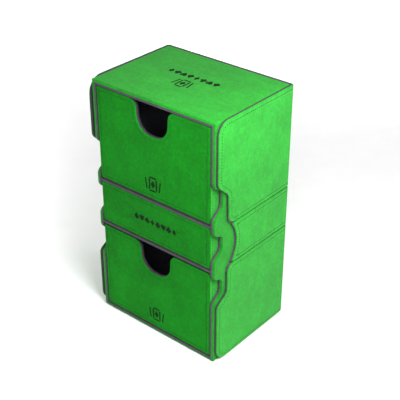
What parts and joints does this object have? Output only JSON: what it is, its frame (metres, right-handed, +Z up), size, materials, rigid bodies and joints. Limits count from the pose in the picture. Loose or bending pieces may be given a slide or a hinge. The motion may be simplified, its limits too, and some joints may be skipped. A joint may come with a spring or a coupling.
{
  "type": "card deck box",
  "caption": "Upright deck box in suede-like microfibre: open-fronted case with slide-out deck trays, an accessory tray and a wrap cover worn on its back.",
  "frame": {"origin": "centre of the footprint, on the surface the box stands on", "axes": "+Z up, +X to the right as seen from the open front, -Y out of the open front, +Y towards the cover on the back"},
  "size_m": [0.1146, 0.0822, 0.1925],
  "materials": {
    "green_microfibre": "brushed suede-like microfibre skin, faint mottling, stitched along its edges",
    "grey_lining": "purple-grey microfibre lining, also seen as the cut front edge",
    "dark_lining": "near-black soft brushed lining",
    "greyboard": "dense grey binder board, matte",
    "magnet_steel": "nickel-plated disc"
  },
  "bodies": {
    "case": {"case_back_board": "greyboard", "case_back_skin": "green_microfibre", "case_bottom_board": "greyboard", "case_bottom_skin": "green_microfibre", "case_left_board": "greyboard", "case_left_magnets": "magnet_steel", "case_left_skin": "green_microfibre", "case_right_board": "greyboard", "case_right_magnets": "magnet_steel", "case_right_skin": "green_microfibre", "case_top_board": "greyboard", "case_top_skin": "green_microfibre", "lower_bay_lining": "grey_lining", "lower_shelf": "greyboard", "middle_bay_lining": "grey_lining", "upper_bay_lining": "grey_lining", "upper_shelf": "greyboard"},
    "top_tray": {"top_tray_back_board": "greyboard", "top_tray_floor_board": "greyboard", "top_tray_front_board": "greyboard", "top_tray_left_board": "greyboard", "top_tray_lining": "dark_lining", "top_tray_outer_skin": "green_microfibre", "top_tray_right_board": "greyboard"},
    "middle_tray": {"middle_tray_back_board": "greyboard", "middle_tray_floor_board": "greyboard", "middle_tray_front_board": "greyboard", "middle_tray_left_board": "greyboard", "middle_tray_lining": "dark_lining", "middle_tray_outer_skin": "green_microfibre", "middle_tray_right_board": "greyboard"},
    "bottom_tray": {"bottom_tray_back_board": "greyboard", "bottom_tray_floor_board": "greyboard", "bottom_tray_front_board": "greyboard", "bottom_tray_left_board": "greyboard", "bottom_tray_lining": "dark_lining", "bottom_tray_outer_skin": "green_microfibre", "bottom_tray_right_board": "greyboard"},
    "cover_back": {"cover_back_lining": "grey_lining", "cover_back_lower_board": "greyboard", "cover_back_middle_board": "greyboard", "cover_back_skin": "green_microfibre", "cover_back_upper_board": "greyboard", "left_fold_strip": "green_microfibre", "right_fold_strip": "green_microfibre"},
    "left_flap": {"left_flap_discs": "magnet_steel", "left_flap_lining": "grey_lining", "left_flap_lower_board": "greyboard", "left_flap_middle_board": "greyboard", "left_flap_outer_skin": "green_microfibre", "left_flap_upper_board": "greyboard"},
    "right_flap": {"right_flap_discs": "magnet_steel", "right_flap_lining": "grey_lining", "right_flap_lower_board": "greyboard", "right_flap_middle_board": "greyboard", "right_flap_outer_skin": "green_microfibre", "right_flap_upper_board": "greyboard"}
  },
  "joints": [
    {"name": "top_tray_slide", "type": "slide", "parent": "case", "child": "top_tray", "axis": [0, -1, 0], "range_m": [0, 0.085]},
    {"name": "middle_tray_slide", "type": "slide", "parent": "case", "child": "middle_tray", "axis": [0, -1, 0], "range_m": [0, 0.085]},
    {"name": "bottom_tray_slide", "type": "slide", "parent": "case", "child": "bottom_tray", "axis": [0, -1, 0], "range_m": [0, 0.085]},
    {"name": "cover_slide", "type": "slide", "parent": "case", "child": "cover_back", "axis": [0, 1, 0], "range_m": [0, 0.09]},
    {"name": "left_flap_fold", "type": "hinge", "parent": "cover_back", "child": "left_flap", "pos_m": [-0.05735, 0.0411, 0.09625], "axis": [0, 0, -1], "range_deg": [0, 90]},
    {"name": "right_flap_fold", "type": "hinge", "parent": "cover_back", "child": "right_flap", "pos_m": [0.05735, 0.0411, 0.09625], "axis": [0, 0, 1], "range_deg": [0, 90]}
  ]
}
